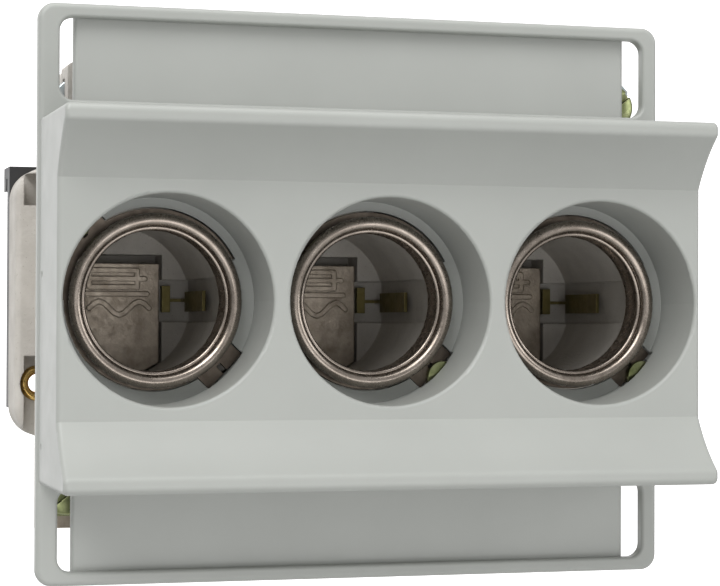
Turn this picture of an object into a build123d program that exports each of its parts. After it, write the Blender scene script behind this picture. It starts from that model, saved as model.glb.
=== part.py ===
from build123d import *
import math
import os

os.makedirs("parts", exist_ok=True)

# Three-pole D02 cartridge fuse base, in millimetres.
# +X runs along the mounting rail, +Y runs into the panel and +Z is up.
# The origin is on the plane that bears on the mounting rail, behind the middle well.

# Driving dimensions
POLES = 3
POLE_PITCH = 27.0
FRONT_DEPTH = 44.0          # rail plane to the flat front of the cover
FRONT_HEIGHT = 44.4         # height of the part that shows through a distribution board
FRAME_HEIGHT = 70.8
RAIL_HEIGHT = 35.0          # top-hat rail, EN 60715
RAIL_BRIM = 1.0
WELL_RADIUS = 12.5
THREAD_RADIUS = 8.9         # mean inner radius of the E18 screw shell
THREAD_PITCH = 3.0
THREAD_DEPTH = 0.7
SHELL_WALL = 0.45

# Front cover
WALL = 2.0
END_WALL = 1.4
BOX_HALF_WIDTH = 40.2
FRAME_HALF_WIDTH = 40.5
FRAME_FRONT = -30.1
FRAME_THICKNESS = 1.6
FRAME_CORNER = 2.0
FRAME_RISE = 0.8            # the flange and its windows sit this much above the box's middle
FLAT_HALF_HEIGHT = 14.1     # the flat front ends here and the scoops begin
SCOOP_RADIUS = 20.5
LIP_REACH = 5.6             # how far the lips stand in front of the flat
LIP_THICKNESS = 1.8
TUBE_OUTER_RADIUS = 14.0
TUBE_END = -32.6
WELL_FLOOR = -33.7          # ledge at the back of each well, round the contact
LEDGE_GAP = 0.15            # between the ledge and what passes through it
MOUTH_ROUND = 0.45
WINDOW_LEFT, WINDOW_RIGHT = -37.9, 38.5
WINDOW_LOW, WINDOW_HIGH = 23.6, 33.7
WINDOW_CORNER = 1.7
EDGE_ROUND = 0.7
END_ROUND = 0.6

# Terminal shields
SHIELD_LEFT, SHIELD_RIGHT = -35.95, 36.4
SHIELD_LOW, SHIELD_HIGH = 21.4, 34.6
SHIELD_THICKNESS = 1.2
SLIDE_GAP = 0.1
FINGER_WIDTH, FINGER_THICKNESS = 2.0, 1.0
FINGER_REACH = 6.0          # how far a finger runs past the shield's inner edge
UPPER_FINGERS, LOWER_FINGERS = (-11.6, 15.6), (-14.8, 12.2)

# Ceramic blocks
CERAMIC_BACK = -2.2
BLOCK_HALF_WIDTH = POLE_PITCH / 2 - 0.15
PLATE_FRONT = -9.0
PLATE_HALF_HEIGHT = 17.6
PLATE_CORNER = 4.0
PLATE_ROUND = 0.8
CUP_RADIUS = 10.8
CUP_FRONT = -32.4
SHELL_BORE = 9.9            # the fuse chamber goes on at this radius behind the shell
SHELL_BACK = -30.5
CHAMBER_FLOOR = -8.0
GROOVE_DEPTH = 10.1         # from the well axis
SEAT = -17.5                # face that the terminal tongues lie on
UPPER_BLOCK = (-8.0, 13.1, 9.5, 30.6)     # x low, x high, z low, z high
LOWER_BLOCK = (-9.2, 9.2, -27.4, -9.5)
EYELET_X, EYELET_Z = 10.0, 10.6
EYELET_FLOOR = -5.6
EYELET_ROLL = 2.1           # radius of the rolled rear end

# Contacts
SHEET = 1.5
RELIEF = 0.3                # height of the raised marks
MARK_HALF_WIDTH = 0.32
SYMBOL = (-3.6, 2.8, 2.1, 4.3)            # x left, x right, z low, z high
BAR_HEIGHT = 1.2
WAVE_HEIGHT, WAVE_SIZE = -0.7, 0.9
COLLAR_FRONT = -33.3
COLLAR_RADIUS = 11.2        # above the well axis; below it the collar is as wide as the cup
RIM_RADIUS = 10.55
RIM_FRONT = -36.1
LUG_ANGLES = (-43.5, 136.5)
LUG_REACH = 12.4
COLLAR_SCREW_PLACE = 13.3   # from the well axis
COLLAR_SCREW_HEAD = 1.9
COLLAR_SCREW_SHANK = 0.85
STRAP_ANGLE = 44.0
STRAP_INNER = 10.25         # the cup's wall goes on inside the strap
SECTOR_START = 28.0         # where the collar's wider part begins
FOOT_FRONT = -7.9
TOP_TERMINAL = (10.2, 26.4)
BOTTOM_TERMINAL = (-8.6, -23.6)
TERMINAL_HEAD_RADIUS = 3.0
CLAMP_SIDE, CLAMP_THICKNESS = 6.5, 1.4
LEAF_FRONT, LEAF_BACK = -20.5, -9.3       # ends of the gauge spring's leaf
BLOCK_SCREW = (-7.9, 26.2)
BOSS_BACK = -22.0
PLATE_RIGHT, PLATE_TOP = 5.7, 5.2         # edges of the foot contact's floor plate
MOAT_FLOOR = -3.4           # bottom of the gap above the floor plate
SCREW_RADIUS = 2.0          # M4
RUNNING_GAP = 0.06

# Rail adapter and latch
RAIL_CENTRE = -1.0
HOOK_DEPTH = 3.5
ADAPTER_LOW = -13.9
LATCH_HALF_WIDTH = 6.0

POLE_CENTRES = [POLE_PITCH * (i - (POLES - 1) / 2) for i in range(POLES)]


def block(x_low, x_high, y_low, y_high, z_low, z_high):
    """A box between two corners."""
    size = Box(x_high - x_low, y_high - y_low, z_high - z_low)
    return Pos((x_low + x_high) / 2, (y_low + y_high) / 2, (z_low + z_high) / 2) * size


def rod(x, z, radius, y_low, y_high):
    """A cylinder along Y."""
    return Pos(x, (y_low + y_high) / 2, z) * Rot(90, 0, 0) * Cylinder(radius, y_high - y_low)


def plate(face_xz, y_front, thickness):
    """A flat shape drawn in X and Z, thickened towards the rail from y_front."""
    return Pos(0, y_front + thickness, 0) * extrude(Plane.XZ * face_xz, thickness)


def at_angle(solid, degrees):
    """Turn about the well axis, counter-clockwise as seen from the front."""
    return Rot(0, -degrees, 0) * solid


def screw_angles(number):
    """Angles of a pole's collar screws. The first pole has none at its lower lug."""
    return LUG_ANGLES[1:] if number == 1 else LUG_ANGLES


def one_solid(shape):
    """The shape as one plain solid."""
    solids = shape.solids()
    assert len(solids) == 1, f"{len(solids)} solids"
    return solids[0]


# ---------------------------------------------------------------- front cover

def scoop_points(growth):
    """Scoop arc of the cover's side view, grown by the wall: start, middle and end as (y, z)."""
    half_chord = Vector(FRONT_HEIGHT / 2 - LIP_THICKNESS - FLAT_HALF_HEIGHT, LIP_REACH) / 2
    rise = math.sqrt(SCOOP_RADIUS ** 2 - half_chord.length ** 2)
    unit = half_chord.normalized()
    centre_z = FLAT_HALF_HEIGHT + half_chord.X - unit.Y * rise
    centre_out = half_chord.Y + unit.X * rise
    radius = SCOOP_RADIUS + growth
    end_z = FRONT_HEIGHT / 2 - (growth or LIP_THICKNESS)
    start = math.asin((centre_out + growth) / radius)
    end = math.acos((end_z - centre_z) / radius)
    angles = (start, (start + end) / 2, end)
    return [(-FRONT_DEPTH - centre_out + radius * math.sin(a), centre_z + radius * math.cos(a))
            for a in angles]


def side_view(growth, back):
    """Half of the box's side view above the centre line, as a face in Y and Z."""
    start, middle, end = scoop_points(growth)
    top = FRONT_HEIGHT / 2 - growth
    outline = [Line((back, 0), (start[0], 0)), Line((start[0], 0), start), ThreePointArc(start, middle, end)]
    if growth == 0:
        outline.append(Line(end, (end[0], top)))
        end = (end[0], top)
    outline += [Line(end, (back, top)), Line((back, top), (back, 0))]
    return make_face(outline)


def box_body(growth, half_width, back):
    """The scooped box, solid, symmetric above and below."""
    half = side_view(growth, back)
    if growth == 0:
        tip = sorted(half.vertices(), key=lambda v: v.X)[:2]
        half = fillet(tip, LIP_THICKNESS * 0.48)
    outline = half + mirror(half, Plane.XZ)
    return Pos(-half_width, 0, 0) * extrude(Plane.YZ * outline, 2 * half_width)


def frame_plate():
    """The flange behind the box, with its two terminal windows and rounded rims."""
    outline = RectangleRounded(2 * FRAME_HALF_WIDTH, FRAME_HEIGHT, FRAME_CORNER)
    solid = plate(outline, FRAME_FRONT, FRAME_THICKNESS)
    rim = solid.faces().sort_by(Axis.Y)[0].edges()
    solid = fillet(rim, EDGE_ROUND)
    middle = (WINDOW_LOW + WINDOW_HIGH) / 2
    window = RectangleRounded(WINDOW_RIGHT - WINDOW_LEFT, WINDOW_HIGH - WINDOW_LOW, WINDOW_CORNER)
    cutter = Pos((WINDOW_LEFT + WINDOW_RIGHT) / 2, 0, 0) * plate(window, FRAME_FRONT - 1, FRAME_THICKNESS + 2)
    for side in (1, -1):
        solid -= Pos(0, 0, side * middle) * cutter
    rims = [e for e in solid.faces().sort_by(Axis.Y)[0].edges()
            if abs(e.center().X) < WINDOW_RIGHT + 0.1 and abs(e.center().Z) < WINDOW_HIGH + 0.1]
    return Pos(0, 0, FRAME_RISE) * fillet(rims, EDGE_ROUND * 0.6)


def shield_fingers():
    """Fingers that hang from the flange's bars and hold each shield against its back."""
    back = FRAME_FRONT + FRAME_THICKNESS
    slot = back + SHIELD_THICKNESS + 2 * SLIDE_GAP
    end, half = slot + FINGER_THICKNESS, FINGER_WIDTH / 2
    fingers = Part()
    for side, places in ((1, UPPER_FINGERS), (-1, LOWER_FINGERS)):
        for x in places:
            finger = block(x - half, x + half, back - 0.2, end, SHIELD_HIGH + SLIDE_GAP, FRAME_HEIGHT / 2)
            finger += block(x - half, x + half, slot, end, SHIELD_LOW - FINGER_REACH, FRAME_HEIGHT / 2)
            fingers += finger if side > 0 else mirror(finger, Plane.XY)
    return Pos(0, 0, FRAME_RISE) * fingers


def collar_sector(radius, front, back, margin=0.0):
    """The wider part of the collar, from just before the strap round to the left of the well."""
    above = block(-15, 15, front, back, -margin, 15)
    return rod(0, 0, radius, front, back) & above & at_angle(above, SECTOR_START)


def ledge_cuts(screws):
    """What is cut out of a well's ledge: the contact's collar and lugs, and its screw heads."""
    front, back = WELL_FLOOR - 1, TUBE_END + 1
    cuts = rod(0, 0, CUP_RADIUS + LEDGE_GAP, front, back)
    cuts += collar_sector(COLLAR_RADIUS + LEDGE_GAP, front, back, LEDGE_GAP)
    for angle in LUG_ANGLES:
        cuts += at_angle(block(0, LUG_REACH + LEDGE_GAP, front, back, -3.05, 3.05), angle)
    for angle in screws:
        cuts += at_angle(rod(COLLAR_SCREW_PLACE, 0, COLLAR_SCREW_HEAD + 0.2, front, back), angle)
    return cuts


def mouth_rounding():
    """Ring that rounds the front edge of a well when it is cut away."""
    face, wall, wide = -FRONT_DEPTH, WELL_RADIUS, WELL_RADIUS + MOUTH_ROUND
    middle = wide - MOUTH_ROUND * math.sin(math.pi / 4), face + MOUTH_ROUND * (1 - math.sin(math.pi / 4))
    inside = wall - 0.5
    outline = [Line((inside, face - 0.5), (wide, face - 0.5)), Line((wide, face - 0.5), (wide, face)),
               ThreePointArc((wide, face), middle, (wall, face + MOUTH_ROUND)),
               Line((wall, face + MOUTH_ROUND), (inside, face + MOUTH_ROUND)),
               Line((inside, face + MOUTH_ROUND), (inside, face - 0.5))]
    return revolve(make_face(outline), Axis.Y)


def front_cover():
    """Light-grey cover: scooped box with three wells, flange and shield fingers."""
    flange_back = FRAME_FRONT + FRAME_THICKNESS
    body = box_body(0, BOX_HALF_WIDTH, FRAME_FRONT + 0.5)
    ends = [e for e in body.edges()
            if abs(abs(e.center().X) - BOX_HALF_WIDTH) < 0.01 and e.bounding_box().min.Y < FRAME_FRONT]
    body = fillet(ends, END_ROUND)
    body += frame_plate()
    body -= box_body(WALL, BOX_HALF_WIDTH - END_WALL, flange_back + 1)
    inside = block(-BOX_HALF_WIDTH, BOX_HALF_WIDTH, -FRONT_DEPTH, TUBE_END, -15, 15)
    for x in POLE_CENTRES:
        body += rod(x, 0, TUBE_OUTER_RADIUS, -FRONT_DEPTH + WALL / 2, TUBE_END) & inside
    for number, x in enumerate(POLE_CENTRES, start=1):
        body -= rod(x, 0, WELL_RADIUS, -FRONT_DEPTH - 1, WELL_FLOOR)
        body -= Pos(x, 0, 0) * ledge_cuts(screw_angles(number))
        body -= Pos(x, 0, 0) * mouth_rounding()
    for side in (1, -1):
        for z in (3.1, -17.6):
            dimple = Pos(side * BOX_HALF_WIDTH, FRAME_FRONT - 1.6, z) * Sphere(0.45)
            body -= dimple
    return body + shield_fingers()


def terminal_shield(side):
    """Flat strip behind a window. side is 1 above the wells and -1 below them."""
    outline = RectangleRounded(SHIELD_RIGHT - SHIELD_LEFT, SHIELD_HIGH - SHIELD_LOW, 0.6)
    front = FRAME_FRONT + FRAME_THICKNESS + SLIDE_GAP
    solid = plate(outline, front, SHIELD_THICKNESS)
    ends = solid.faces().sort_by(Axis.Y)[0].edges()
    solid = fillet(ends, 0.5)
    middle = side * (SHIELD_LOW + SHIELD_HIGH) / 2 + FRAME_RISE
    return Pos((SHIELD_LEFT + SHIELD_RIGHT) / 2, 0, middle) * solid


# -------------------------------------------------------------- ceramic block

def ceramic_base():
    """Steatite block of one pole, about its own well axis."""
    footprint = RectangleRounded(2 * BLOCK_HALF_WIDTH, 2 * PLATE_HALF_HEIGHT, PLATE_CORNER)
    solid = plate(footprint, PLATE_FRONT, CERAMIC_BACK - PLATE_FRONT)
    solid = fillet(solid.faces().sort_by(Axis.Y)[0].edges(), PLATE_ROUND)
    for x_low, x_high, z_low, z_high in (UPPER_BLOCK, LOWER_BLOCK):
        tower = block(x_low, x_high, SEAT, CERAMIC_BACK, z_low, z_high)
        far = z_high if z_high > 0 else z_low
        corners = [e for e in tower.edges().filter_by(Axis.Y) if abs(e.center().Z - far) < 0.1]
        solid += fillet(corners, 2.0)
    barrier = block(-8.7, -7.3, SEAT - 4.5, SEAT + 1, 14.0, 29.9)
    crest = [e for e in barrier.edges().filter_by(Axis.Y) if e.center().Z > 29]
    solid += fillet(crest, 0.65)
    solid += rod(*BLOCK_SCREW, 1.6, SEAT, PLATE_FRONT + 1)
    solid += rod(0, 0, CUP_RADIUS, CUP_FRONT, PLATE_FRONT + 1)
    for angle in LUG_ANGLES:
        boss = rod(COLLAR_SCREW_PLACE, 0, 1.6, CUP_FRONT + 0.9, BOSS_BACK)
        boss += block(9.95, COLLAR_SCREW_PLACE, CUP_FRONT + 0.9, BOSS_BACK, -1.5, 1.5)
        boss -= rod(COLLAR_SCREW_PLACE, 0, COLLAR_SCREW_SHANK, CUP_FRONT, BOSS_BACK + 1)
        solid += at_angle(boss, angle)
    # well: shell bore, chamber and the recessed floor that the foot contact lies in
    solid -= rod(0, 0, SHELL_BORE, CUP_FRONT - 1, CHAMBER_FLOOR)
    recess = rod(0, 0, SHELL_BORE, CHAMBER_FLOOR - 1, CHAMBER_FLOOR + 1.8)
    solid -= recess & block(-12, PLATE_RIGHT + 0.4, -12, 0, -12, PLATE_TOP + 1.2)
    moat = rod(0, 0, SHELL_BORE, CHAMBER_FLOOR - 1, MOAT_FLOOR)
    solid -= moat & block(-12, PLATE_RIGHT + 0.4, -12, 0, PLATE_TOP, PLATE_TOP + 1.2)
    solid -= block(-8.8, 1.2, CHAMBER_FLOOR, CHAMBER_FLOOR + 1.8, -14.3, -5)
    solid -= block(-9.0, 1.2, SEAT - 1, CHAMBER_FLOOR + 1.8, -14.3, -12.2)
    # groove for the gauge spring, across the floor and up the wall
    solid -= block(5.0, GROOVE_DEPTH, SHELL_BACK, CHAMBER_FLOOR + 1.8, -2.5, 3.1)
    # slot for the strap from the collar
    solid -= at_angle(block(STRAP_INNER - 0.1, 12.6, CUP_FRONT - 1, SEAT, -2.6, 2.6), STRAP_ANGLE)
    for side in (1, -1):
        solid -= rod(side * EYELET_X, side * EYELET_Z, 2.7, -40, EYELET_FLOOR)
        solid -= rod(side * EYELET_X, side * EYELET_Z, 1.65, -40, 0)
        solid -= side_recess(side)
    # pocket beside the lower eyelet, open to the plate's lower edge
    solid -= block(-12.2, LOWER_BLOCK[0], PLATE_FRONT - 1, EYELET_FLOOR, -PLATE_HALF_HEIGHT - 1, -7.0)
    solid -= rod(*TOP_TERMINAL, SCREW_RADIUS + 0.4, SEAT - 1, SEAT + 7)
    solid -= rod(*BOTTOM_TERMINAL, SCREW_RADIUS + 0.4, SEAT - 1, SEAT + 7)
    solid -= rod(*BLOCK_SCREW, 2.1, SEAT - 1.8, SEAT)
    solid -= rod(*BLOCK_SCREW, 1.1, SEAT - 1.8, SEAT + 6)
    return one_solid(solid)


def side_recess(side):
    """Recess that takes a snap leg: upper left of the block, or lower right of it."""
    recess = block(-12.3, -9.4, PLATE_FRONT - 1, -5.2, 12.6, 16.8)
    return recess if side > 0 else Rot(0, 180, 0) * recess


# ------------------------------------------------------------------- contacts

def wave(offset, steps=16):
    """Thread flank of the shell as (radius, y) points from front to back."""
    front, back = -34.8, SHELL_BACK
    points = []
    for i in range(steps + 1):
        y = front + (back - front) * i / steps
        lift = THREAD_DEPTH / 2 * math.cos(2 * math.pi * (y - front) / THREAD_PITCH)
        points.append((THREAD_RADIUS + offset - lift, y))
    return points


def screw_shell():
    """Nickel-plated shell: rolled rim with an inner bead, and a short rounded thread."""
    inner = wave(0)
    outer = wave(SHELL_WALL)
    profile = make_face([Spline(*inner), Line(inner[-1], outer[-1]), Spline(*outer), Line(outer[0], inner[0])])
    roll = 0.8
    profile += Pos(RIM_RADIUS - roll, RIM_FRONT + roll) * Circle(roll)
    profile += Pos(8.85, -34.85) * Circle(0.35)
    return one_solid(revolve(profile, Axis.Y))


def collar_contact():
    """Head contact: collar round the shell with two forked lugs, strap and top tongue."""
    ring = rod(0, 0, CUP_RADIUS, COLLAR_FRONT, CUP_FRONT)
    ring += collar_sector(COLLAR_RADIUS, COLLAR_FRONT, CUP_FRONT)
    for angle in LUG_ANGLES:
        lug = block(8, LUG_REACH, COLLAR_FRONT, CUP_FRONT, -2.9, 2.9)
        lug -= block(11.2, 14, COLLAR_FRONT - 1, CUP_FRONT + 1, -0.35, 0.35)
        ring += at_angle(lug, angle)
    strap = block(STRAP_INNER, 12, COLLAR_FRONT, SEAT - 0.05, -2.5, 2.5)
    strap &= rod(0, 0, COLLAR_RADIUS, COLLAR_FRONT, 0)
    strap += block(STRAP_INNER, 13.2, SEAT - SHEET, SEAT - 0.05, -2.5, 2.5)
    ring += at_angle(strap, STRAP_ANGLE)
    ring -= rod(0, 0, SHELL_BORE - 0.15, COLLAR_FRONT - 1, CUP_FRONT + 1)
    x, z = TOP_TERMINAL
    tongue = block(x - 4.6, x + 3.0, SEAT - SHEET, SEAT - 0.05, 8.0, z + 4.4)
    top = [e for e in tongue.edges().filter_by(Axis.Y) if e.center().Z > z]
    tongue = fillet(top, 1.6)
    tongue -= rod(0, 0, COLLAR_RADIUS + 0.15, -40, 0)
    ring += tongue
    ring -= rod(x, z, SCREW_RADIUS + RUNNING_GAP, SEAT - 4, SEAT + 4)
    return one_solid(ring)


def foot_contact():
    """Foot contact: floor plate, neck, riser and bottom tongue."""
    back = FOOT_FRONT + SHEET
    floor = rod(0, 0, SHELL_BORE - 0.25, FOOT_FRONT, back) & block(-12, PLATE_RIGHT, -12, 0, -12, PLATE_TOP)
    neck = block(-8.5, 0.9, FOOT_FRONT, back, -14.0, -5.0)
    riser = block(-8.5, 0.9, SEAT - SHEET, back, -14.0, -14.0 + SHEET)
    x, z = BOTTOM_TERMINAL
    tongue = block(x - 3.4, x + 3.6, SEAT - SHEET, SEAT - 0.05, z - 4.9, -14.0 + SHEET)
    solid = floor + neck + riser + tongue
    solid -= rod(x, z, SCREW_RADIUS + RUNNING_GAP, SEAT - 4, SEAT + 4)
    return one_solid(solid + plate_relief())


def ribbon(points, half_width, front, back):
    """A raised line with round ends through points given in X and Z."""
    line = Part()
    for x, z in points:
        line += rod(x, z, half_width, front, back)
    for (x_1, z_1), (x_2, z_2) in zip(points, points[1:]):
        run = block(0, math.hypot(x_2 - x_1, z_2 - z_1), front, back, -half_width, half_width)
        line += Pos(x_1, 0, z_1) * at_angle(run, math.degrees(math.atan2(z_2 - z_1, x_2 - x_1)))
    return line


def plate_relief():
    """Raised marks on the floor plate: a fuse symbol above a bar and a wave below it."""
    front, back = FOOT_FRONT - RELIEF, FOOT_FRONT + 0.1
    left, right, low, high = SYMBOL
    frame = [(left, low), (right, low), (right, high), (left, high), (left, low)]
    marks = ribbon(frame, MARK_HALF_WIDTH, front, back)
    middle = (low + high) / 2
    marks += ribbon([(left - 1, middle), (right + 1, middle)], MARK_HALF_WIDTH, front, back)
    marks += ribbon([(left - 1.6, BAR_HEIGHT), (right + 1.3, BAR_HEIGHT)], MARK_HALF_WIDTH, front, back)
    steps = 12
    length = right - left + 1.6
    wave_line = [(left + length * i / steps, WAVE_HEIGHT + WAVE_SIZE * math.sin(3 * math.pi * i / steps))
                 for i in range(steps + 1)]
    return marks + ribbon(wave_line, MARK_HALF_WIDTH, front, back)


def gauge_spring():
    """Brass leaf in the groove beside the foot contact: a pad, a narrow web and a leaf up the wall."""
    pad = block(5.95 + 0.25, 7.3, -7.6, -6.45, -1.2, 2.3)
    web = block(6.3, 9.3, -6.7, -6.45, 0.2, 0.6)
    riser = block(8.9, 9.3, LEAF_BACK - 0.1, -6.45, 0.2, 0.6)
    leaf = block(8.9, 9.3, LEAF_FRONT, LEAF_BACK, -1.1, 1.5)
    return one_solid(pad + web + riser + leaf)


# ------------------------------------------------------------------ fasteners

def slotted_screw(head_radius, head_height, shank_radius, shank_length, slot_angle):
    """Cheese-head screw along Y with its head's seat at the origin, head towards -Y."""
    head = rod(0, 0, head_radius, -head_height, 0)
    head = fillet(head.edges().filter_by(GeomType.CIRCLE).sort_by(Axis.Y)[0], head_height * 0.25)
    slot = block(-head_radius - 1, head_radius + 1, -head_height - 1, -head_height * 0.55, -0.45, 0.45)
    head -= at_angle(slot, slot_angle)
    return one_solid(head + rod(0, 0, shank_radius, -0.1, shank_length))


def terminal_screw():
    return slotted_screw(TERMINAL_HEAD_RADIUS, 2.9, SCREW_RADIUS, 8.0, 38)


def saddle_clamp():
    """Square clamp plate with cut corners, under a terminal screw."""
    side = CLAMP_SIDE
    plate_solid = block(-side / 2, side / 2, 0, CLAMP_THICKNESS, -side / 2, side / 2)
    corners = plate_solid.edges().filter_by(Axis.Y)
    plate_solid = chamfer(corners, 0.8)
    plate_solid -= rod(0, 0, SCREW_RADIUS + RUNNING_GAP, -1, 3)
    return one_solid(plate_solid)


def collar_screw():
    return slotted_screw(COLLAR_SCREW_HEAD, 1.0, COLLAR_SCREW_SHANK, 8.0, 20)


def pan_screw():
    return slotted_screw(1.8, 1.4, 1.0, 4.5, 65)


def eyelet():
    """Hollow brass rivet through a block and the rail adapter, front flange towards -Y."""
    outer = rod(0, 0, 1.6, EYELET_FLOOR - 0.1, -0.1)
    flange = rod(0, 0, 2.35, EYELET_FLOOR - 0.75, EYELET_FLOOR)
    flange = fillet(flange.edges().filter_by(GeomType.CIRCLE).sort_by(Axis.Y)[0], 0.6)
    rolled = rod(0, 0, EYELET_ROLL, -0.55, -0.05)
    return one_solid(outer + flange + rolled - rod(0, 0, 1.2, -10, 2))


# --------------------------------------------------------- rail adapter, latch

def rail_adapter():
    """Black plate behind the blocks, with fixed hooks above the rail and latch guides below."""
    half_width = 40.35
    top = RAIL_CENTRE + RAIL_HEIGHT / 2
    solid = block(-half_width, half_width, CERAMIC_BACK, 0, ADAPTER_LOW, 14.0)
    for centre in (-half_width + 6, 0, half_width - 6):
        solid += block(centre - 6, centre + 6, CERAMIC_BACK, HOOK_DEPTH, top + 0.1, top + 1.6)
        solid += block(centre - 6, centre + 6, CERAMIC_BACK, 0, 14.0 - 0.1, top + 1.6)
        solid += block(centre - 6, centre + 6, RAIL_BRIM + 0.2, HOOK_DEPTH, top - 1.5, top + 0.2)
    solid += block(-8.4, 8.4, CERAMIC_BACK, 0, -32.5, ADAPTER_LOW + 0.5)
    for side in (1, -1):
        guide = block(6.1, 8.4, -0.1, 2.95, -32.5, -20.5)
        guide += block(5.0, 8.4, 2.1, 2.95, -32.5, -20.5)
        solid += guide if side > 0 else mirror(guide, Plane.YZ)
    solid += block(-1.9, 1.9, -0.1, 1.85, -31.2, -30.2)
    for x in POLE_CENTRES:
        for side in (1, -1):
            solid -= rod(x + side * EYELET_X, side * EYELET_Z, 1.65, -10, 10)
            solid -= rod(x + side * EYELET_X, side * EYELET_Z, EYELET_ROLL + 0.1, -0.6, 10)
    return one_solid(solid)


def rail_latch():
    """Sliding foot that hooks under the rail's lower edge, with a slot for a screwdriver."""
    low_edge = RAIL_CENTRE - RAIL_HEIGHT / 2
    solid = block(-LATCH_HALF_WIDTH, LATCH_HALF_WIDTH, 0.08, 2.0, -34.8, low_edge - 0.1)
    solid += block(-4.8, 4.8, RAIL_BRIM + 0.2, HOOK_DEPTH - 0.05, low_edge - 3.2, low_edge + 1.4)
    solid -= block(-2.2, 2.2, -1, 2.05, -31.5, -21.5)
    solid -= block(-2.0, 2.0, -1, 3, -34.0, -33.0)
    nose = [e for e in solid.edges().filter_by(Axis.X)
            if abs(e.center().Z - low_edge - 1.4) < 0.01 and e.center().Y > 2]
    return one_solid(chamfer(nose, 0.9))


def latch_spring():
    """Compression spring in the latch's window, axis along Z."""
    radius, wire, turns = 0.65, 0.14, 8
    low, high = -30.0, -21.7
    coil = Helix(pitch=(high - low) / turns, height=high - low, radius=radius)
    section = Plane(origin=coil @ 0, z_dir=coil % 0) * Circle(wire)
    return one_solid(Pos(0, 1.0, low) * sweep(section, path=coil, is_frenet=True))


# --------------------------------------------------------------------- output

def write(name, shape):
    shape.label = name
    export_step(shape, f"parts/{name}.step")


write("front_cover", one_solid(front_cover()))
write("upper_terminal_shield", one_solid(terminal_shield(1)))
write("lower_terminal_shield", one_solid(terminal_shield(-1)))
write("rail_adapter", rail_adapter())
write("rail_latch", rail_latch())
write("latch_spring", latch_spring())

for number, x in enumerate(POLE_CENTRES, start=1):
    here = Pos(x, 0, 0)
    write(f"ceramic_base_{number}", here * ceramic_base())
    write(f"screw_shell_{number}", here * screw_shell())
    write(f"collar_contact_{number}", here * collar_contact())
    write(f"foot_contact_{number}", here * foot_contact())
    write(f"gauge_spring_{number}", here * gauge_spring())
    for place, (tx, tz) in (("top", TOP_TERMINAL), ("bottom", BOTTOM_TERMINAL)):
        clamp_front = SEAT - SHEET - 0.05 - CLAMP_THICKNESS
        write(f"{place}_clamp_{number}", Pos(x + tx, clamp_front, tz) * saddle_clamp())
        write(f"{place}_screw_{number}", Pos(x + tx, clamp_front - 0.05, tz) * terminal_screw())

collar_screws = []
for number, x in enumerate(POLE_CENTRES, start=1):
    for angle in screw_angles(number):
        along = math.radians(angle)
        place = Pos(x + COLLAR_SCREW_PLACE * math.cos(along), COLLAR_FRONT,
                    COLLAR_SCREW_PLACE * math.sin(along))
        collar_screws.append(place * collar_screw())
write("collar_screws", Compound(collar_screws))
write("block_screws", Compound([Pos(x + BLOCK_SCREW[0], SEAT - 0.05, BLOCK_SCREW[1]) * pan_screw()
                                for x in POLE_CENTRES]))
write("eyelets", Compound([Pos(x + s * EYELET_X, 0, s * EYELET_Z) * eyelet()
                           for x in POLE_CENTRES for s in (1, -1)]))
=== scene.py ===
import math

import bmesh
import bpy
from mathutils import Matrix, Vector


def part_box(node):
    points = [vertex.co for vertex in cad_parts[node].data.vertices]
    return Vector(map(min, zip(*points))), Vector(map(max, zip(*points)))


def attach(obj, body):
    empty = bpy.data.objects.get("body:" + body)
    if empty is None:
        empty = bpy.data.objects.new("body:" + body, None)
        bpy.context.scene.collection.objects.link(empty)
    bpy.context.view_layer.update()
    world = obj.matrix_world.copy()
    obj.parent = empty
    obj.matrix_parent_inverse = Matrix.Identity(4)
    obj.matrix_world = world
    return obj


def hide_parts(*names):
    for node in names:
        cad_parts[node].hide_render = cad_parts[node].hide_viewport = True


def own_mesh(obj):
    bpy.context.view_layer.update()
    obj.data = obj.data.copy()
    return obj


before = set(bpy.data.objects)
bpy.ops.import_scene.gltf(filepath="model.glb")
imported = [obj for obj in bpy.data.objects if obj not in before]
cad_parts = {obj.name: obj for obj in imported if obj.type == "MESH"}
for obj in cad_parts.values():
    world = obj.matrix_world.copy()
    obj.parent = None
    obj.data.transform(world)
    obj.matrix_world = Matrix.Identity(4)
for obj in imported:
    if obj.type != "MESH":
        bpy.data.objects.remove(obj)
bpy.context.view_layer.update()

MM = 0.001
POLE_CENTRES = (-27.0, 0.0, 27.0)
TURN = 2 * math.pi

# threaded shell, depths along Y in millimetres
SHELL_BACK = -30.5
WALL_STEP = 0.13
WALL_STEPS = 30
WALL_INNER = 8.9
WALL_OUTER = 9.35
SHELL_PITCH = 3.0
SHELL_THREAD = 0.33
THREAD_END = -34.5
THREAD_FADE = 0.8

# terminal screw: its seat stands this far behind its front
TERMINAL_SEAT = 2.95

# the collar screws' circle about each well, and their seat
COLLAR_RADIUS = 13.3
COLLAR_SEAT = -33.3
LOWER_LUG = -43.5
UPPER_LUG = 136.5

# where the block screws and rivets stand, measured from each pole's axis
BLOCK_SCREW = (-7.9, -17.55, 26.2)
RIVET_X = 10.0
RIVET_Z = 10.6

# latch spring
COIL_X, COIL_Y = 0.0, 1.0
COIL_LOW = -29.95
COIL_HIGH = -21.75
COIL_RADIUS = 0.65
COIL_WIRE = 0.135
COIL_TURNS = 8
COIL_STEPS = 32
COIL_SIDES = 12
COIL_END = 0.05


# ---------------------------------------------------------------- node materials

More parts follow.
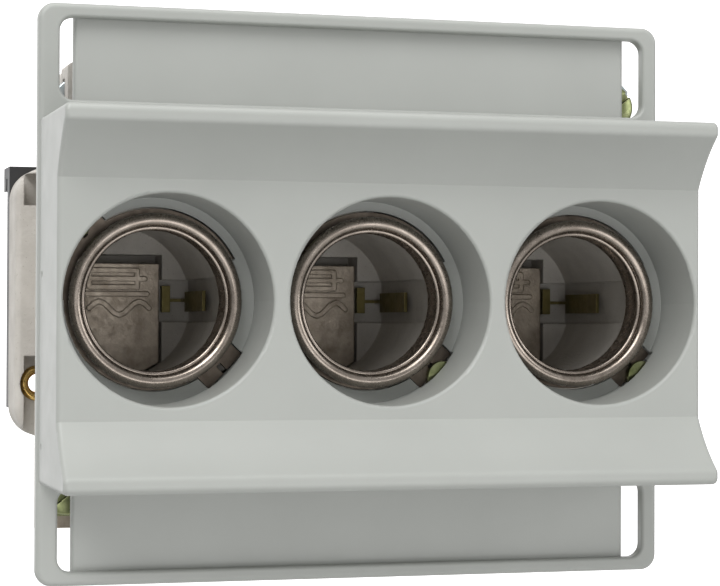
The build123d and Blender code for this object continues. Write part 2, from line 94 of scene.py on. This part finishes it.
class Nodes:
    """A material's node tree, built a node at a time."""

    def __init__(self, name):
        self.material = bpy.data.materials.new(name)
        self.material.use_nodes = True
        self.tree = self.material.node_tree
        self.shader = self.tree.nodes["Principled BSDF"]
        self.place = self.node("ShaderNodeTexCoord").outputs["Object"]

    def node(self, kind, **settings):
        made = self.tree.nodes.new(kind)
        for key, value in settings.items():
            setattr(made, key, value)
        return made

    def link(self, source, target):
        self.tree.links.new(source, target)

    def noise(self, size_mm, detail=3.0, roughness=0.55, stretch=(1, 1, 1)):
        """Noise whose features are about size_mm across, stretched along an axis by a number below 1."""
        mapping = self.node("ShaderNodeMapping")
        mapping.inputs["Scale"].default_value = stretch
        self.link(self.place, mapping.inputs["Vector"])
        made = self.node("ShaderNodeTexNoise")
        made.inputs["Scale"].default_value = 1.0 / (size_mm * MM)
        made.inputs["Detail"].default_value = detail
        made.inputs["Roughness"].default_value = roughness
        self.link(mapping.outputs["Vector"], made.inputs["Vector"])
        return made.outputs["Fac"]

    def spots(self, size_mm):
        """Distance to the nearest of a random set of points about size_mm apart."""
        made = self.node("ShaderNodeTexVoronoi")
        made.inputs["Scale"].default_value = 1.0 / (size_mm * MM)
        self.link(self.place, made.inputs["Vector"])
        return made.outputs["Distance"]

    def ramp(self, value, *stops):
        """Colours at places along a value, as (place, (r, g, b))."""
        made = self.node("ShaderNodeValToRGB")
        elements = made.color_ramp.elements
        while len(elements) < len(stops):
            elements.new(0.5)
        for element, (place, colour) in zip(elements, stops):
            element.position = place
            element.color = (*colour, 1.0)
        self.link(value, made.inputs["Fac"])
        return made.outputs["Color"]

    def span(self, value, low, high, from_low=0.3, from_high=0.7):
        """The value's range from_low..from_high carried to low..high."""
        made = self.node("ShaderNodeMapRange")
        made.inputs["From Min"].default_value = from_low
        made.inputs["From Max"].default_value = from_high
        made.inputs["To Min"].default_value = low
        made.inputs["To Max"].default_value = high
        self.link(value, made.inputs["Value"])
        return made.outputs["Result"]

    def mix(self, amount, first, second):
        """first where amount is 0, second where it is 1."""
        made = self.node("ShaderNodeMix", data_type="RGBA")
        self.link(amount, made.inputs["Factor"])
        for socket, value in ((made.inputs[6], first), (made.inputs[7], second)):
            if isinstance(value, tuple):
                socket.default_value = (*value, 1.0)
            else:
                self.link(value, socket)
        return made.outputs[2]

    def edge_wear(self, radius_mm):
        """1 on edges and corners, 0 on open faces."""
        bevel = self.node("ShaderNodeBevel", samples=4)
        bevel.inputs["Radius"].default_value = radius_mm * MM
        flat = self.node("ShaderNodeNewGeometry").outputs["Normal"]
        dot = self.node("ShaderNodeVectorMath", operation="DOT_PRODUCT")
        self.link(bevel.outputs["Normal"], dot.inputs[0])
        self.link(flat, dot.inputs[1])
        return self.span(dot.outputs["Value"], 1.0, 0.0, 0.75, 0.99)

    def relief(self, height, depth_mm, round_mm=0.0, under=None):
        """Bump of a height texture, over edges rounded by round_mm, or over another relief."""
        bump = self.node("ShaderNodeBump")
        bump.inputs["Strength"].default_value = 1.0
        bump.inputs["Distance"].default_value = depth_mm * MM
        self.link(height, bump.inputs["Height"])
        if under is not None:
            self.link(under, bump.inputs["Normal"])
        elif round_mm:
            bevel = self.node("ShaderNodeBevel", samples=6)
            bevel.inputs["Radius"].default_value = round_mm * MM
            self.link(bevel.outputs["Normal"], bump.inputs["Normal"])
        return bump.outputs["Normal"]

    def finish(self, colour, roughness, normal, metallic=0.0, **sockets):
        self.link(colour, self.shader.inputs["Base Color"])
        self.link(roughness, self.shader.inputs["Roughness"])
        self.link(normal, self.shader.inputs["Normal"])
        self.shader.inputs["Metallic"].default_value = metallic
        for name, value in sockets.items():
            self.shader.inputs[name.replace("_", " ")].default_value = value
        return self.material


def shade(colour, factor):
    return tuple(c * factor for c in colour)


def moulded_plastic(name, colour, gloss, grain_mm=0.22, round_mm=0.12):
    """Injection-moulded plastic: faint flow clouding, spark-eroded grain and softly rubbed edges."""
    m = Nodes(name)
    cloud = m.ramp(m.noise(14, 4), (0.3, shade(colour, 0.975)), (0.7, shade(colour, 1.02)))
    rubbed = m.mix(m.edge_wear(0.25), cloud, shade(colour, 1.12))
    grain = m.noise(grain_mm, 2)
    relief = m.relief(grain, 0.004, round_mm)
    relief = m.relief(m.noise(6, 2), 0.01, under=relief)
    return m.finish(rubbed, m.span(m.noise(3, 3), gloss - 0.03, gloss + 0.04), relief, IOR=1.49)


def steatite(name):
    """Unglazed pressed ceramic: greyish white, with darker specks, pores and pressing streaks."""
    m = Nodes(name)
    body = m.ramp(m.noise(5, 5, 0.6), (0.28, (0.41, 0.385, 0.35)), (0.5, (0.475, 0.45, 0.41)),
                  (0.74, (0.53, 0.505, 0.465)))
    speck = m.span(m.spots(0.55), 1.0, 0.0, 0.05, 0.16)
    colour = m.mix(speck, body, (0.33, 0.30, 0.26))
    streak = m.noise(1.1, 4, 0.7, stretch=(1, 0.35, 1.6))
    relief = m.relief(m.noise(0.32, 4, 0.65), 0.035, 0.3)
    relief = m.relief(streak, 0.1, under=relief)
    return m.finish(colour, m.span(m.noise(2, 2), 0.62, 0.78), relief, IOR=1.55)


def plated(name, low, middle, high, gloss, grain_mm=0.5, depth_mm=0.006, round_mm=0.1,
           stretch=(1, 1, 1)):
    """Plated or passivated metal: stained patches, fine drawn grain and brighter worn edges."""
    m = Nodes(name)
    patches = m.ramp(m.noise(2.2, 5, 0.6), (0.3, low), (0.5, middle), (0.7, high))
    colour = m.mix(m.edge_wear(0.15), patches, shade(high, 1.25))
    relief = m.relief(m.noise(grain_mm, 4, 0.6, stretch), depth_mm, round_mm)
    rough = m.span(m.noise(0.9, 4), gloss - 0.06, gloss + 0.1)
    return m.finish(colour, rough, relief, metallic=1.0)


COVER = moulded_plastic("cover_plastic", (0.335, 0.345, 0.325), 0.42)
SHIELD = moulded_plastic("shield_plastic", (0.375, 0.385, 0.365), 0.5)
BLACK = moulded_plastic("black_plastic", (0.022, 0.022, 0.023), 0.5, grain_mm=0.4)
STEATITE = steatite("steatite")
NICKEL = plated("nickel", (0.235, 0.20, 0.17), (0.29, 0.25, 0.215), (0.35, 0.305, 0.265), 0.25,
                grain_mm=0.8, depth_mm=0.004, stretch=(1, 0.25, 1))
# nickel for the collar contacts and their lugs, darkened as painted shade for the shadow over the
# collar's front inside the wells
NICKEL_PAINTED_SHADE = plated("nickel_dark", (0.085, 0.07, 0.056), (0.13, 0.107, 0.087),
                     (0.18, 0.15, 0.122), 0.36)
PLATE_NICKEL = plated("nickel_plate", (0.26, 0.22, 0.175), (0.39, 0.335, 0.275),
                      (0.52, 0.455, 0.38), 0.42, grain_mm=0.4, depth_mm=0.045, round_mm=0.2)
LEAF_BRASS = plated("brass_leaf", (0.13, 0.11, 0.045), (0.17, 0.145, 0.06), (0.22, 0.19, 0.085), 0.4)
YELLOW_ZINC = plated("yellow_zinc", (0.15, 0.17, 0.07), (0.24, 0.265, 0.13), (0.36, 0.375, 0.21), 0.3)
BLUE_ZINC = plated("blue_zinc", (0.36, 0.42, 0.43), (0.46, 0.50, 0.51), (0.56, 0.58, 0.58), 0.3)
BRASS = plated("brass", (0.50, 0.32, 0.09), (0.64, 0.43, 0.14), (0.72, 0.52, 0.22), 0.22)
SPRING_STEEL = plated("spring_steel", (0.34, 0.34, 0.35), (0.44, 0.44, 0.45), (0.52, 0.52, 0.53), 0.25)


def paint(node, material):
    """Puts the material on a CAD node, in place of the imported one."""
    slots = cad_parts[node].data.materials
    slots.clear()
    slots.append(material)


paint("front_cover", COVER)
paint("upper_terminal_shield", SHIELD)
paint("lower_terminal_shield", SHIELD)
paint("rail_adapter", BLACK)
paint("rail_latch", BLACK)
for number in (1, 2, 3):
    paint(f"ceramic_base_{number}", STEATITE)
    # collar contacts take the nickel darkened with painted shade
    paint(f"collar_contact_{number}", NICKEL_PAINTED_SHADE)
    paint(f"foot_contact_{number}", PLATE_NICKEL)
    paint(f"gauge_spring_{number}", LEAF_BRASS)
    paint(f"top_clamp_{number}", BLUE_ZINC)
    paint(f"bottom_clamp_{number}", YELLOW_ZINC)


# -------------------------------------------------------------------- mesh pieces

TURN_STEPS = 144


def arc(centre, radius, start, end, steps):
    """An arc's points as (distance from the axis, depth), in millimetres and degrees."""
    angles = [math.radians(start + (end - start) * i / steps) for i in range(steps + 1)]
    return [(centre[0] + radius * math.cos(a), centre[1] + radius * math.sin(a)) for a in angles]


def lathe(profile, steps=TURN_STEPS, ripple=None, closed=True):
    """Vertices and faces of a profile turned about the Y axis, with flat ends where it isn't closed.
    ripple(r, y) is the thread at a point, as (lift, phase in turns)."""
    vertices = []
    for i in range(steps):
        turn = i / steps
        for r, y in profile:
            lift, phase = ripple(r, y) if ripple else (0.0, 0.0)
            reach = r + lift * math.cos(TURN * (phase + turn))
            vertices.append((reach * math.cos(TURN * turn), y, reach * math.sin(TURN * turn)))
    count = len(profile)
    faces = []
    for i in range(steps):
        for j in range(count if closed else count - 1):
            here, there = i * count, (i + 1) % steps * count
            k = (j + 1) % count
            faces.append((here + j, here + k, there + k, there + j))
    if not closed:
        faces.append(tuple(i * count for i in range(steps)))
        faces.append(tuple((i + 1) * count - 1 for i in reversed(range(steps))))
    return vertices, faces


def solid_mesh(name, vertices, faces):
    """A mesh with its faces turned outwards."""
    mesh = bpy.data.meshes.new(name)
    mesh.from_pydata(vertices, [], faces)
    mesh.validate()
    shell = bmesh.new()
    shell.from_mesh(mesh)
    bmesh.ops.recalc_face_normals(shell, faces=shell.faces)
    shell.to_mesh(mesh)
    shell.free()
    return mesh


def piece(name, parts, material, body, nodes):
    """One smooth-shaded piece from several (vertices, faces, place), standing for CAD nodes."""
    vertices, faces = [], []
    for part_vertices, part_faces, place in parts:
        first = len(vertices)
        vertices += [tuple((a + b) * MM for a, b in zip(v, place)) for v in part_vertices]
        faces += [tuple(first + i for i in face) for face in part_faces]
    mesh = solid_mesh(name, vertices, faces)
    mesh.shade_smooth()
    mesh.set_sharp_from_angle(angle=math.radians(38))
    mesh.materials.append(material)
    made = bpy.data.objects.new(name, mesh)
    bpy.context.scene.collection.objects.link(made)
    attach(made, body)
    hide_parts(*nodes)
    return made


def shell_profile():
    """Closed profile of the screw shell: threaded wall, inner bead and rolled rim."""
    depths = [SHELL_BACK - WALL_STEP * i for i in range(WALL_STEPS + 1)]
    inner = [(WALL_INNER, y) for y in depths]
    bead = arc((8.85, -34.85), 0.35, 150, 330, 12)
    roll = arc((9.75, -35.3), 0.8, 195, 435, 28)
    outer = [(WALL_OUTER, y) for y in reversed(depths)]
    return inner + bead + roll + outer


def shell_ripple(r, y):
    """E18 thread, fading out towards the rim."""
    fade = min(1.0, max(0.0, (y - THREAD_END) / THREAD_FADE))
    on_wall = r < WALL_OUTER + 0.05 and y > THREAD_END + 0.05
    return (SHELL_THREAD * fade if on_wall else 0.0, y / SHELL_PITCH)


def slotted(head_radius, head_height, shank_radius, shank_length, pitch, slot_angle):
    """Slotted screw with its seat at the origin and its head towards -Y: head, then threaded shank."""
    round_off = head_height * 0.22
    top = arc((head_radius - round_off, -head_height + round_off), round_off, 0, -90, 6)
    crown = [(head_radius * f, -head_height - 0.12 * (1 - f * f)) for f in (0.75, 0.5, 0.25, 0.001)]
    seat = [(0.001, 0.0), (head_radius - 0.15, 0.0), (head_radius, -0.15)]
    head = lathe(seat + top + crown, 72, closed=False)
    head = cut_slot(head, head_height * 0.5, head_height + 0.2, head_radius + 0.5, 0.45, slot_angle)
    thread = 0.3 * pitch
    root = shank_radius - thread
    steps = max(8, round(shank_length / pitch * 10))
    wall = [(root, shank_length * i / steps) for i in range(steps + 1)]
    tip = shank_length + 0.2

    def ripple(r, y):
        return (thread if 0.2 < y < shank_length - 0.3 and r > 0.1 else 0.0, y / pitch)

    shank = lathe([(0.001, -0.05)] + wall + [(root - 0.25, tip), (0.001, tip)], 48,
                  ripple=ripple, closed=False)
    return [head, shank]


def cut_slot(part, depth, height, reach, half_width, angle):
    """A head's vertices and faces with a straight slot cut across its front."""
    def solid(vertices, faces):
        holder = bpy.data.objects.new("cut", solid_mesh("cut", vertices, faces))
        bpy.context.scene.collection.objects.link(holder)
        return holder

    low, high = -height - 0.3, -height + depth
    along, across = math.cos(math.radians(angle)), math.sin(math.radians(angle))
    sides = (-1, 1)
    corners = [(s * reach, y, t * half_width) for s in sides for y in (low, high) for t in sides]
    turned = [(x * along - z * across, y, x * across + z * along) for x, y, z in corners]
    box_faces = [(0, 1, 3, 2), (4, 6, 7, 5), (0, 4, 5, 1), (2, 3, 7, 6), (0, 2, 6, 4), (1, 5, 7, 3)]
    head, blade = solid(*part), solid(turned, box_faces)
    cut = head.modifiers.new("slot", "BOOLEAN")
    cut.operation = "DIFFERENCE"
    cut.solver = "EXACT"
    cut.object = blade
    result = head.evaluated_get(bpy.context.evaluated_depsgraph_get()).to_mesh()
    vertices = [tuple(v.co) for v in result.vertices]
    faces = [tuple(p.vertices) for p in result.polygons]
    for holder in (head, blade):
        bpy.data.objects.remove(holder)
    return vertices, faces


def at(parts, place):
    return [(*part, place) for part in parts]


def rivet():
    """Hollow rivet, its flange rolled to a half round in front and its tail turned out behind."""
    front = arc((1.775, -5.62), 0.575, 180, 360, 18)
    tail = arc((1.85, -0.3), 0.25, -60, 160, 10)
    return lathe(front + [(1.6, -5.55), (1.6, -0.6)] + tail + [(1.2, -0.3)], 72)


def pole_pieces(number, x):
    """What stands for one pole's shell and terminal screws."""
    shell = lathe(shell_profile(), ripple=shell_ripple)
    piece(f"threaded_shell_{number}", at([shell], (x, 0, 0)), NICKEL, "base",
          [f"screw_shell_{number}"])
    for side in ("top", "bottom"):
        low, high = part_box(f"{side}_screw_{number}")
        middle = (low + high) / 2 / MM
        screw = slotted(2.98, 2.75, 1.98, 7.75, 0.7, 38)
        place = (middle.x, low.y / MM + TERMINAL_SEAT, middle.z)
        piece(f"{side}_terminal_screw_{number}", at(screw, place), YELLOW_ZINC,
              f"{side}_screw_{number}", [f"{side}_screw_{number}"])


def fixed_screws():
    """Collar screws, block screws and rivets, each set as one piece."""
    collar = slotted(1.88, 0.86, 0.84, 7.7, 0.4, 20)
    places = []
    for number, x in enumerate(POLE_CENTRES, start=1):
        for degrees in ((UPPER_LUG,) if number == 1 else (LOWER_LUG, UPPER_LUG)):
            angle = math.radians(degrees)
            across, up = COLLAR_RADIUS * math.cos(angle), COLLAR_RADIUS * math.sin(angle)
            places.append((x + across, COLLAR_SEAT, up))
    piece("collar_screw_set", [p for place in places for p in at(collar, place)], YELLOW_ZINC, "base",
          ["collar_screws"])
    block = slotted(1.78, 1.25, 0.98, 4.2, 0.45, 65)
    off, depth, height = BLOCK_SCREW
    piece("block_screw_set", [p for x in POLE_CENTRES for p in at(block, (x + off, depth, height))],
          BLUE_ZINC, "base", ["block_screws"])
    places = [(x + side * RIVET_X, 0.0, side * RIVET_Z) for x in POLE_CENTRES for side in (1, -1)]
    piece("rivet_set", [(*rivet(), place) for place in places], BRASS, "base", ["eyelets"])


def latch_coil():
    """Compression spring of the rail latch, its end turns closed."""
    steps = COIL_TURNS * COIL_STEPS
    vertices = []
    for i in range(steps + 1):
        share = i / steps
        closed = min(1.0, share * COIL_TURNS, (1 - share) * COIL_TURNS)
        lift = COIL_END * (1 - closed) * (1 if share < 0.5 else -1)
        rise = COIL_LOW + (COIL_HIGH - COIL_LOW) * (share - lift)
        turn = TURN * COIL_TURNS * share
        for j in range(COIL_SIDES):
            around = TURN * j / COIL_SIDES
            reach = COIL_RADIUS + COIL_WIRE * math.cos(around)
            height = max(COIL_LOW, min(COIL_HIGH, rise)) + COIL_WIRE * math.sin(around)
            vertices.append((reach * math.cos(turn), reach * math.sin(turn), height))
    faces = []
    for here in range(0, steps * COIL_SIDES, COIL_SIDES):
        for j in range(COIL_SIDES):
            k = (j + 1) % COIL_SIDES
            there = here + COIL_SIDES
            faces.append((here + j, here + k, there + k, there + j))
    faces.append(tuple(reversed(range(COIL_SIDES))))
    faces.append(tuple(steps * COIL_SIDES + j for j in range(COIL_SIDES)))
    made = piece("latch_coil", [(vertices, faces, (COIL_X, COIL_Y, 0.0))], SPRING_STEEL, "base",
                 ["latch_spring"])
    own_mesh(made)


for number, x in enumerate(POLE_CENTRES, start=1):
    pole_pieces(number, x)
fixed_screws()
latch_coil()


# ------------------------------------------------------------------- camera, lights

# radians from straight on, and millimetres
YAW, PITCH, ROLL = 0.2840, 0.0150, 0.0036
SENSOR, LENS = 36.0, 111.27
CAMERA_PLACE = (-78.36, -298.71, -2.985)


def camera():
    """Camera in front and to the left of the object, level with the wells."""
    level = math.cos(PITCH)
    forward = Vector((math.sin(YAW) * level, math.cos(YAW) * level, math.sin(PITCH)))
    right = Vector((math.cos(YAW), -math.sin(YAW), 0.0))
    up = right.cross(forward)
    tilted_right = math.cos(ROLL) * right + math.sin(ROLL) * up
    tilted_up = -math.sin(ROLL) * right + math.cos(ROLL) * up
    data = bpy.data.cameras.new("camera")
    data.sensor_width = SENSOR
    data.lens = LENS
    data.clip_start = 0.01
    data.clip_end = 50.0
    seat = bpy.data.objects.new("camera", data)
    axes = Matrix((tilted_right, tilted_up, -forward)).transposed()
    seat.matrix_world = Matrix.Translation(Vector(CAMERA_PLACE) * MM) @ axes.to_4x4()
    bpy.context.scene.collection.objects.link(seat)
    bpy.context.scene.camera = seat


def softbox(name, place, size, power, target=(0.0, -0.03, 0.0)):
    """Square area light at a place in metres, turned to face the target."""
    data = bpy.data.lights.new(name, "AREA")
    data.shape = "SQUARE"
    data.size = size
    data.energy = power
    lamp = bpy.data.objects.new(name, data)
    away = Vector(place) - Vector(target)
    lamp.matrix_world = Matrix.Translation(place) @ away.to_track_quat("Z", "Y").to_matrix().to_4x4()
    bpy.context.scene.collection.objects.link(lamp)


def surface(name, vertices, faces, colour, glow):
    """Plain pale studio surface that isn't part of the object."""
    m = Nodes(name)
    tint = m.ramp(m.noise(400, 2), (0.3, shade(colour, 0.98)), (0.7, colour))
    m.finish(tint, m.span(m.noise(80, 2), 0.75, 0.85), m.relief(m.noise(2, 2), 0.02))
    m.shader.inputs["Emission Color"].default_value = (1.0, 1.0, 1.0, 1.0)
    m.shader.inputs["Emission Strength"].default_value = glow
    mesh = bpy.data.meshes.new(name)
    mesh.from_pydata(vertices, [], faces)
    mesh.materials.append(m.material)
    made = bpy.data.objects.new(name, mesh)
    bpy.context.scene.collection.objects.link(made)


# light powers in watts, the surround's and backdrop's strengths, and the floor's shade
WORLD = 0.55
TOP = 7.0
KEY = 10.6
RIGHT = 3.6
UNDER = 0.9
FLOOR = 0.55
GLOW = 0.9

# floor height, half width, backdrop's distance and top, in metres
LOW, REACH, BACK, CEILING = -0.25, 3.0, 1.4, 1.2


def studio():
    """Pale floor, white backdrop behind, and soft lights above, upper left, right and low in front."""
    world = bpy.data.worlds.new("surround")
    world.use_nodes = True
    world.node_tree.nodes["Background"].inputs["Color"].default_value = (1.0, 1.0, 1.0, 1.0)
    world.node_tree.nodes["Background"].inputs["Strength"].default_value = WORLD
    bpy.context.scene.world = world
    softbox("top", (-0.1, -0.25, 1.1), 0.9, TOP)
    softbox("key", (-0.6, -0.8, 0.9), 0.7, KEY)
    softbox("right", (1.1, -0.9, 0.3), 0.6, RIGHT)
    softbox("under", (0.0, -0.45, -0.2), 0.4, UNDER)
    front = [(-REACH, -REACH, LOW), (REACH, -REACH, LOW)]
    foot = [(REACH, BACK, LOW), (-REACH, BACK, LOW)]
    head = [(REACH, BACK, CEILING), (-REACH, BACK, CEILING)]
    surface("floor", front + foot, [(0, 1, 2, 3)], (FLOOR, FLOOR, FLOOR), 0.0)
    surface("backdrop", foot[::-1] + head, [(0, 3, 2, 1)], (0.8, 0.8, 0.8), GLOW)
    bpy.context.scene.view_settings.view_transform = "Standard"


camera()
studio()
